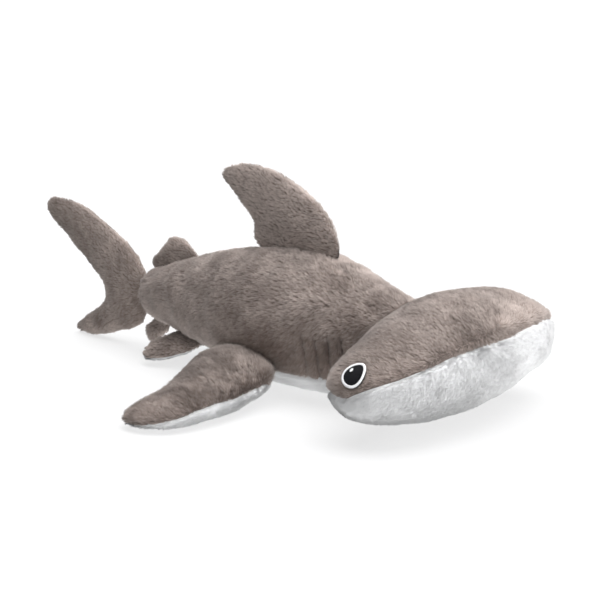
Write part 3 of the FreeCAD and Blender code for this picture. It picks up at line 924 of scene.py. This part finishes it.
for skin, amount, size, seed in ((dorsal, 1.3, 34, 31), (tail, 1.6, 34, 37), (second, 1.0, 16, 41), (anal, 1.0, 14, 43),
                                 (pect["right"], 1.5, 40, 47), (pect["left"], 1.5, 40, 53), (pelv["right"], 1.0, 20, 59), (pelv["left"], 1.0, 20, 61)):
    d = relief(skin, amount, size, seed) + relief(skin, amount * 0.5, size * 0.5, seed + 5) + groove(skin.seam_distance(), 1.0, 2.5)
    skin.push(d)
for skin in list(pect.values()) + list(pelv.values()) + [tail]:
    s_, r_, z_ = station(skin.p)
    z2 = 0.5 * ((z_ - 1.8) + np.sqrt((z_ - 1.8) ** 2 + 16.0)) + 1.8
    skin.p = world(s_, r_, z2)
    skin.normals()

# ---------------------------------------------------------------- eyes
eyes = {}


def egg(a, long_, wide, point=0.22):
    return long_ * np.cos(a), wide * np.sin(a) * (1 - point * np.cos(a))


for side, sign in (("right", 1.0), ("left", -1.0)):
    look = unit(np.array([-sign * 0.703, -0.102, 0.704]))
    along = np.array([sign * 0.693, -0.322, 0.645])
    u = unit(along - look * along.dot(look))
    v = np.cross(look, u)
    c0 = np.array([-sign * EYE_R, Y0 - HEAD_S - EYE_FWD, HEAD_Z + EYE_UP])
    pivot = np.array([0, Y0 - HEAD_S, HEAD_Z])
    turn = np.array(Matrix.Rotation(HEAD_ROLL, 3, Vector((0, -1, 0))))
    c0 = pivot + turn @ (c0 - pivot)
    u, v, look = turn @ u, turn @ v, turn @ look
    eyes[side] = dict(c=c0 * MM, u=u, v=v, n=look, sign=sign)


def on_head(e, a, b, lift):
    """Points of the eye, a and b along its own axes in millimetres, laid on the head's outer
    surface along the way that the eye looks, and lifted off it."""
    a, b = np.asarray(a, float), np.asarray(b, float)
    base = e["c"] + (a[..., None] * e["u"] + b[..., None] * e["v"]) * MM
    lo, hi = np.full(a.shape, -40.0), np.full(a.shape, 40.0)
    for _ in range(26):
        mid = (lo + hi) / 2
        inside = head_value(base + e["n"] * (mid * MM)[..., None]) < 0
        lo, hi = np.where(inside, mid, lo), np.where(inside, hi, mid)
    return base + e["n"] * ((lo + np.asarray(lift)) * MM)[..., None]


def eye_plane(e, p):
    """Place of points in the eye's own axes, in millimetres."""
    q = (p - e["c"]) / MM
    return (q * e["u"]).sum(-1), (q * e["v"]).sum(-1), (q * e["n"]).sum(-1)


def egg_value(e, p, grow_=0.0):
    a, b, c = eye_plane(e, p)
    t = np.arctan2(b / EYE_WIDE, a / EYE_LONG)
    ea, eb = egg(t, EYE_LONG, EYE_WIDE)
    d = np.hypot(a, b) - np.hypot(ea, eb)
    return np.where(c > -60, d - grow_, 99.0)


def threads(name, lines, radius, mat, sides=5):
    """Stitches as closed tubes with rounded ends; lines is a list of n by 3 paths in metres
    with the way outward at each point."""
    verts, loops, starts, uvs = [], [], [], []
    base, count = 0, len(lines)
    grid = int(math.ceil(math.sqrt(count)))
    ang = np.linspace(0, 2 * math.pi, sides, endpoint=False)
    for li, (path, out) in enumerate(lines):
        n = len(path)
        t = unit(np.gradient(path, axis=0))
        s1 = unit(np.cross(t, out))
        s2 = unit(np.cross(s1, t))
        x = np.linspace(0, 1, n)
        w = radius * np.clip(np.sin(np.pi * x) ** 0.35, 0.25, 1)
        q = path[:, None] + (np.cos(ang)[None, :, None] * s1[:, None] + 0.75 * np.sin(ang)[None, :, None] * s2[:, None]) * w[:, None, None]
        verts.append(q.reshape(-1, 3))
        verts.append(np.stack([path[0], path[-1]]))
        gx, gy = (li % grid) / grid, (li // grid) / grid
        for i in range(n - 1):
            for j in range(sides):
                k2 = (j + 1) % sides
                quad = [base + i * sides + j, base + i * sides + k2, base + (i + 1) * sides + k2, base + (i + 1) * sides + j]
                starts.append(len(loops))
                loops += quad
                for (ui, vj) in ((i, j), (i, j + 1), (i + 1, j + 1), (i + 1, j)):
                    uvs.append((gx + (0.05 + 0.9 * ui / (n - 1)) / grid, gy + (0.05 + 0.9 * vj / sides) / grid))
        for end, c, flip in ((0, base + n * sides, True), (n - 1, base + n * sides + 1, False)):
            for j in range(sides):
                k2 = (j + 1) % sides
                tri = [base + end * sides + j, base + end * sides + k2, c]
                if flip:
                    tri = tri[::-1]
                starts.append(len(loops))
                loops += tri
                uvs += [(gx + 0.02 / grid, gy + 0.02 / grid), (gx + 0.04 / grid, gy + 0.02 / grid), (gx + 0.03 / grid, gy + 0.04 / grid)]
        base += n * sides + 2
    return mesh_object(name, np.concatenate(verts), loops, starts, [mat], None, np.array(uvs))


def build_eye(side):
    e = eyes[side]
    sg = e["sign"]
    pitch = 0.55
    # pupil: satin stitches across the egg
    rows = np.arange(-EYE_LONG + 0.3, EYE_LONG - 0.2, pitch)
    lines = []
    rng = np.random.default_rng(SEED + 900 + int(sg))
    tt = np.linspace(0, math.pi, 721)
    ea, eb = egg(tt, EYE_LONG, EYE_WIDE)
    for a in rows:
        half = np.interp(-a, -ea, eb)
        if half < 0.5:
            continue
        b = np.linspace(-half, half, 9) + rng.normal(0, 0.05)
        lift = 1.1 + 0.9 * (1 - (b / EYE_WIDE) ** 2) * (1 - (a / EYE_LONG) ** 2)
        path = on_head(e, np.full(9, a) + 0.25 * np.sin(b / 3), b, lift)
        lines.append((path, np.tile(e["n"], (9, 1))))
    pupil = threads("eye_pupil_stitches_" + side, lines, 0.42 * MM, BLACK)
    # a closed pad under the stitches
    pad_rings, pad_n = [], 40
    tt = np.linspace(0, 2 * math.pi, pad_n, endpoint=False)
    for f, lift in ((1.12, -2.5), (1.12, 0.4), (1.0, 0.85), (0.6, 1.35), (0.25, 1.5), (0.02, 1.52)):
        ea, eb = egg(tt, EYE_LONG * f, EYE_WIDE * f)
        pad_rings.append(on_head(e, ea, eb, lift))
    pad_rings.insert(0, on_head(e, *egg(tt, EYE_LONG * 0.02, EYE_WIDE * 0.02), -2.5))
    pad = Skin("eye_pad", np.array(pad_rings), np.array([0] * 20 + [1] * 20))
    pad_o = skin_object(pad, "eye_backing_" + side, [BLACK])
    # rim: short stitches across the edge
    lines = []
    count = 170
    tt = np.linspace(0, 2 * math.pi, 2000)
    ea, eb = egg(tt, EYE_LONG, EYE_WIDE)
    run = np.concatenate([[0], np.cumsum(np.hypot(np.diff(ea), np.diff(eb)))])
    ts = np.interp(np.linspace(0, run[-1], count, endpoint=False), run, tt)
    for t in ts:
        a, b = egg(t, EYE_LONG, EYE_WIDE)
        da, db = -EYE_LONG * math.sin(t), EYE_WIDE * (math.cos(t) - 0.22 * math.cos(2 * t))
        ln = math.hypot(da, db)
        na, nb = db / ln, -da / ln
        wide = EYE_RIM + rng.normal(0, 0.05)
        x = np.linspace(-0.5, wide, 5)
        lift = 1.25 + 0.55 * np.sin(np.linspace(0, math.pi, 5))
        path = on_head(e, a + na * x, b + nb * x, lift)
        lines.append((path, np.tile(e["n"], (5, 1))))
    rim = threads("eye_rim_stitches_" + side, lines, 0.40 * MM, WHITE)
    # glint
    lines = []
    for a in np.arange(-2.0, 2.05, 0.5):
        half = 1.9 * math.sqrt(max(0.0, 1 - (a / 2.2) ** 2))
        if half < 0.4:
            continue
        b = np.linspace(-half, half, 5)
        lift = 2.35 + 0.35 * (1 - (b / 2.6) ** 2)
        path = on_head(e, 1.8 + np.full(5, a), 4.9 * sg + b, lift - 0.25)
        lines.append((path, np.tile(e["n"], (5, 1))))
    glint = threads("eye_glint_stitches_" + side, lines, 0.40 * MM, WHITE)
    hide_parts("eye_pupil_" + side)
    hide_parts("eye_rim_" + side)
    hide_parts("eye_glint_" + side)
    for o, slot in ((pupil, "black_thread"), (pad_o, "black_thread"), (rim, "white_thread"), (glint, "white_thread")):
        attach(o, "head")


for side in ("right", "left"):
    build_eye(side)

# ---------------------------------------------------------------- skins as pieces
body_o = skin_object(body, "body_plush_backing", [GREY_SKIN, WHITE_SKIN])
head_o = skin_object(head, "head_plush_backing", [GREY_SKIN, WHITE_SKIN])
dorsal_o = skin_object(dorsal, "dorsal_fin_plush_backing", [GREY_SKIN])
second_o = skin_object(second, "second_dorsal_fin_plush_backing", [GREY_SKIN])
tail_o = skin_object(tail, "tail_fin_plush_backing", [GREY_SKIN])
anal_o = skin_object(anal, "anal_fin_plush_backing", [GREY_SKIN])
pect_o = {k: skin_object(v, "pectoral_fin_plush_backing_" + k, [GREY_SKIN, WHITE_SKIN]) for k, v in pect.items()}
pelv_o = {k: skin_object(v, "pelvic_fin_plush_backing_" + k, [GREY_SKIN, WHITE_SKIN]) for k, v in pelv.items()}


def joined(o, kind):
    """How a piece moves: skins and pile of the same part alike."""
    if kind == "body":
        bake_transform(o)
    elif kind == "head":
        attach(o, "head")
    elif kind == "dorsal":
        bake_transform(o)
    elif kind == "second":
        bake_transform(o)
    elif kind == "tail":
        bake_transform(o)
    elif kind == "anal":
        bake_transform(o)
    else:
        if kind == "pectoral":
            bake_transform(o)
        else:
            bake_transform(o)


for o, kind, side in ([(body_o, "body", None), (head_o, "head", None), (dorsal_o, "dorsal", None), (second_o, "second", None), (tail_o, "tail", None), (anal_o, "anal", None)]
                      + [(pect_o[k], "pectoral", k) for k in pect_o] + [(pelv_o[k], "pelvic", k) for k in pelv_o]):
    joined(o, kind)
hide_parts("body_cover_right", "body_cover_left", "belly_cover", "body_filling")
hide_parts("head_top_cover", "head_under_cover", "head_filling")
for o, n in ((dorsal_o, "dorsal_fin"), (second_o, "second_dorsal_fin"), (tail_o, "tail_fin"), (anal_o, "anal_fin")):
    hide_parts(n + "_cover_right", n + "_cover_left", n + "_filling")
for k in ("right", "left"):
    for o, n in ((pect_o[k], "pectoral_fin_"), (pelv_o[k], "pelvic_fin_")):
        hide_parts(n + k + "_top_cover", n + k + "_under_cover", n + k + "_filling")

# ---------------------------------------------------------------- gill threads: real stitches, their near-black colour painted shade of the creases
for side, sign in (("right", 1.0), ("left", -1.0)):
    lines = []
    for gs in GILL_S:
        z = np.linspace(44, 82, 24)
        line = gs + 2.5 * np.sin((z - 42.0) / 42.0 * math.pi)
        # nearest column of the skin at that station and height
        pts = []
        ss, rr, zz = station(body.p)
        for s0, z0 in zip(line, z):
            dd = (ss - s0) ** 2 + (zz - z0) ** 2 + np.where(rr * sign > 0, 0, 1e6)
            i, j = np.unravel_index(np.argmin(dd), dd.shape)
            pts.append(body.p[i, j] + body.nrm[i, j] * 0.5 * MM)
        pts = np.array(pts)
        for _ in range(3):
            pts[1:-1] = (pts[:-2] + 2 * pts[1:-1] + pts[2:]) / 4
        lines.append((pts, np.tile(np.array([-sign, 0, 0.2]), (len(pts), 1))))
    o = threads("gill_thread_and_crease_shade_" + side, lines, 0.7 * MM, GILL_THREAD_AND_CREASE_SHADE, 6)
    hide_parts("gill_stitches_" + side)
    joined(o, "body")

# ---------------------------------------------------------------- pile
DENS = 1.6
WIDTH = 0.74


def under_weight(z0, z1, low):
    """Fewer tufts where nothing but the floor meets them."""
    def f(skin, p):
        return low + (1 - low) * smooth(z0, z1, p[..., 2] / MM)
    return f


made = []


def add(name, pile, mat, slot, kind, side, comb, length, lean, **kw):
    if len(pile.p) < 10:
        return
    g = grow(pile, comb, length, WIDTH, lean, **kw)
    o = pile_object(name, g, mat)
    joined(o, kind)
    made.append((name, g["n"] * 4))


# body
bp = Pile(body, DENS, 1, weight=under_weight(6, 22, 0.25))
s, r, z = station(bp.p)
hidden = (head_value(bp.p, 3.0) < 0) | (s > 165)
bp.keep(~hidden)
s, r, z = station(bp.p)
grey = bp.panel == 0
ln = 6.6 * (0.72 + 0.28 * smooth(0, 5, bp.seam))
for gs in GILL_S:
    line = gs + 2.5 * np.sin((z - 42.0) / 42.0 * math.pi)
    ln = ln * (1 - 0.55 * np.exp(-((s - line) / 2.4) ** 2) * (z > 40) * (z < 84))
cuts = [(-300, -130), (-130, -50), (-50, 15), (15, 75), (75, 300)]
for side, sel in (("right", r >= 0), ("left", r < 0)):
    for i, (lo, hi) in enumerate(cuts):
        m = grey & sel & (s >= lo) & (s < hi)
        q = bp.part(m)
        # lighter darkens the pile of the lower front flank: painted shade where the flank turns away from the light
        add(f"body_pile_{side}_{('tail', 'rear', 'middle', 'front', 'neck')[i]}", q, GREY_PILE, "grey_plush", "body", None, comb_body, ln[m], 0.95, clump=0.26, clump_size=3.2, swirl=0.45, wild=0.24, seed=1,
            lighter=0.05 - 0.92 * (smooth(105, 55, z) * smooth(-90, 10, s))[m])
m = ~grey
add("belly_pile", bp.part(m), WHITE_PILE, "white_plush", "body", None, comb_body, ln[m] * 0.8, 1.05, clump=0.2, clump_size=3.2, swirl=0.3, wild=0.1, seed=2, fuzzy=0.5)

# head
hp = Pile(head, DENS, 2, weight=under_weight(4, 22, 0.35))
near_eye = np.minimum(egg_value(eyes["right"], hp.p), egg_value(eyes["left"], hp.p) + 0.0)
side_ok = np.ones(len(hp.p), bool)
for e in eyes.values():
    a, b, c = eye_plane(e, hp.p)
    t = np.arctan2(b / EYE_WIDE, a / EYE_LONG)
    ea, eb = egg(t, EYE_LONG, EYE_WIDE)
    dd = np.hypot(a, b) - np.hypot(ea, eb)
    side_ok &= ~((dd < EYE_RIM + 0.6) & (np.abs(c) < 25))
hidden = in_torso(hp.p, 3.0) < 0
hp.keep(side_ok & ~hidden)
s, r, z = station(hp.p)
grey = hp.panel == 0
ln = 6.2 * (0.72 + 0.28 * smooth(0, 5, hp.seam))
for e in eyes.values():
    a, b, c = eye_plane(e, hp.p)
    t = np.arctan2(b / EYE_WIDE, a / EYE_LONG)
    ea, eb = egg(t, EYE_LONG, EYE_WIDE)
    dd = np.hypot(a, b) - np.hypot(ea, eb)
    ln = np.where(np.abs(c) < 25, ln * (0.45 + 0.55 * smooth(EYE_RIM, EYE_RIM + 8, dd)), ln)
for name, sel in (("right", r >= 75), ("right_middle", (r < 75) & (r >= 0)), ("left_middle", (r < 0) & (r > -75)), ("left", r <= -75)):
    m = grey & sel
    add("head_top_pile_" + name, hp.part(m), GREY_PILE, "grey_plush", "head", None, comb_head_top, ln[m], 1.08, clump=0.26, clump_size=3.2, swirl=0.25, wild=0.2, seed=3)
    m = ~grey & sel
    add("head_under_pile_" + name, hp.part(m), WHITE_PILE, "white_plush", "head", None, comb_head, ln[m] * 0.75, 1.1, clump=0.18, clump_size=3.2, swirl=0.2, wild=0.1, seed=4, fuzzy=0.45)


def fin_pile(skin, kind, side, label, comb, length, lean, seed, two_tone, dens=1.0, **kw):
    w = under_weight(2, 12, 0.35) if two_tone else None
    q = Pile(skin, DENS * dens, seed, weight=w)
    keep = in_torso(q.p, 3.0) > 0
    q.keep(keep)
    l = length * (0.72 + 0.28 * smooth(0, 4, q.seam))
    if two_tone:
        for pnl, mat, slot, tag, f, kk in ((0, GREY_PILE, "grey_plush", "top", 1.0, kw), (1, WHITE_PILE, "white_plush", "under", 0.7, dict(clump=0.2, clump_size=3.2, swirl=0.3, wild=0.1, fuzzy=0.5))):
            m = q.panel == pnl
            add(f"{label}_{tag}_pile" + (f"_{side}" if side else ""), q.part(m), mat, slot, kind, side, comb, l[m] * f, lean if pnl == 0 else 1.1, seed=seed, **kk)
    else:
        for pnl, tag in ((0, "right"), (1, "left")):
            m = q.panel == pnl
            add(f"{label}_pile_{tag}", q.part(m), GREY_PILE, "grey_plush", kind, side, comb, l[m], lean, seed=seed, **kw)


# lighter=0.55 paints the dorsal fin's pile lighter: painted light on the high fin that catches the overhead light
fin_pile(dorsal, "dorsal", None, "dorsal_fin", comb_up_fin, 5.8, 0.98, 11, False, 1.0, clump=0.35, clump_size=3.6, lighter=0.55)
fin_pile(second, "second", None, "second_dorsal_fin", comb_up_fin, 5.0, 0.9, 12, False, 1.1, clump=0.35, clump_size=3.4)
# lighter=-0.08 paints the tail's pile a little darker: painted shade
fin_pile(tail, "tail", None, "tail_fin", comb_tail, 5.2, 1.05, 13, False, 1.0, clump=0.35, clump_size=3.6, lighter=-0.08)
fin_pile(anal, "anal", None, "anal_fin", comb_tail, 5.0, 0.95, 14, False, 1.1)
for i, side in enumerate(("right", "left")):
    # lighter=-0.22 paints the pectoral fin's top pile darker: painted shade
    fin_pile(pect[side], "pectoral", side, "pectoral_fin", comb_side_fin, 7.0, 0.66, 15 + i, True, 1.0, clump=0.3, clump_size=3.2, wild=0.3, lighter=-0.22)
    fin_pile(pelv[side], "pelvic", side, "pelvic_fin", comb_side_fin, 5.2, 0.9, 17 + i, True, 1.1)

print("PILE", sum(n for _, n in made), "faces;", max(made, key=lambda q: q[1]))

# CAD nodes are all hidden behind their replacements, but keep a real finish
for nm, o in frame["nodes"].items():
    mat = GREY_SKIN
    if "eye_pupil" in nm:
        mat = BLACK
    elif "eye_" in nm:
        mat = WHITE
    elif "gill" in nm:
        mat = GILL_THREAD_AND_CREASE_SHADE
    elif "under" in nm or "belly" in nm or "filling" in nm:
        mat = WHITE_SKIN
    for sl in o.material_slots:
        sl.material = mat

# ---------------------------------------------------------------- floor, light, camera
bm = bpy.data.meshes.new("floor")
R = 40.0
bm.from_pydata([(-R, -R, 0), (R, -R, 0), (R, R, 0), (-R, R, 0)], [], [(0, 1, 2, 3)])
floor = bpy.data.objects.new("floor", bm)
bpy.context.scene.collection.objects.link(floor)
fm, fnt, fb = new_material("floor_paper")
fnt.links.new(ranged(fnt, noise_node(fnt, 3.0, 1.0), 0.0, 1.0, 0.86, 0.88), fb.inputs["Roughness"])
fb.inputs["Base Color"].default_value = (0.24, 0.24, 0.242, 1)
fb.inputs["Emission Color"].default_value = (1.0, 1.0, 1.0, 1)
fb.inputs["Emission Strength"].default_value = 0.67
fb.inputs["Specular IOR Level"].default_value = 0.1
bm.materials.append(fm)
floor.visible_shadow = False
floor.visible_diffuse = False       # the world below the horizon gives the bounce of white paper

sc = bpy.context.scene
sc.view_settings.view_transform = "Standard"
sc.view_settings.look = "None"
w = bpy.data.worlds.new("studio")
sc.world = w
w.use_nodes = True
nt = w.node_tree
nt.nodes.clear()
out = nt.nodes.new("ShaderNodeOutputWorld")
lit = nt.nodes.new("ShaderNodeBackground")
seen = nt.nodes.new("ShaderNodeBackground")
mixer = nt.nodes.new("ShaderNodeMixShader")
path = nt.nodes.new("ShaderNodeLightPath")
split = nt.nodes.new("ShaderNodeSeparateXYZ")
nt.links.new(nt.nodes.new("ShaderNodeTexCoord").outputs["Generated"], split.inputs[0])
ramp = nt.nodes.new("ShaderNodeValToRGB")
ramp.color_ramp.elements[0].position, ramp.color_ramp.elements[0].color = 0.0, (0.66, 0.66, 0.66, 1)
ramp.color_ramp.elements[1].position, ramp.color_ramp.elements[1].color = 1.0, (0.37, 0.375, 0.38, 1)
for at, v in ((0.44, 0.56), (0.54, 0.30)):
    q = ramp.color_ramp.elements.new(at)
    q.color = (v, v * 1.005, v * 1.01, 1)
nt.links.new(ranged(nt, split.outputs["Z"], -1.0, 1.0, 0.0, 1.0), ramp.inputs[0])
nt.links.new(ramp.outputs[0], lit.inputs[0])
lit.inputs[1].default_value = 1.0
seen.inputs[0].default_value = (1, 1, 1, 1)
seen.inputs[1].default_value = 1.0
nt.links.new(path.outputs["Is Camera Ray"], mixer.inputs[0])
nt.links.new(lit.outputs[0], mixer.inputs[1])
nt.links.new(seen.outputs[0], mixer.inputs[2])
nt.links.new(mixer.outputs[0], out.inputs[0])


def sun(name, towards, strength, angle, colour=(1, 1, 1)):
    l = bpy.data.lights.new(name, "SUN")
    l.energy = strength
    l.angle = math.radians(angle)
    l.color = colour
    o = bpy.data.objects.new(name, l)
    o.rotation_euler = Vector(towards).to_track_quat("Z", "Y").to_euler()
    sc.collection.objects.link(o)
    return o


sun("key", (0.08, -0.05, 0.98), 3.05, 70)
sun("back_fill", (0.45, 0.85, 0.45), 0.45, 60)
sun("right_fill", (0.15, -0.70, 0.85), 1.4, 60)
sun("front_fill", (-0.08, -0.95, 0.22), 0.65, 90)
sun("paper_bounce", (0.0, -0.80, -0.60), 1.55, 100)

cam_data = bpy.data.cameras.new("camera")
cam_data.sensor_width = 36.0
cam_data.lens = 1768.1 / 600.0 * 36.0
cam_data.clip_end = 100.0
cam = bpy.data.objects.new("camera", cam_data)
sc.collection.objects.link(cam)
th, el, dist = math.radians(48.5), math.radians(13.0), 2.09
target = Vector((0.0, Y0 * MM, 0.1035))
cam.location = target + dist * Vector((-math.sin(th) * math.cos(el), -math.cos(th) * math.cos(el), math.sin(el)))
cam.rotation_euler = (target - cam.location).to_track_quat("-Z", "Y").to_euler()
sc.camera = cam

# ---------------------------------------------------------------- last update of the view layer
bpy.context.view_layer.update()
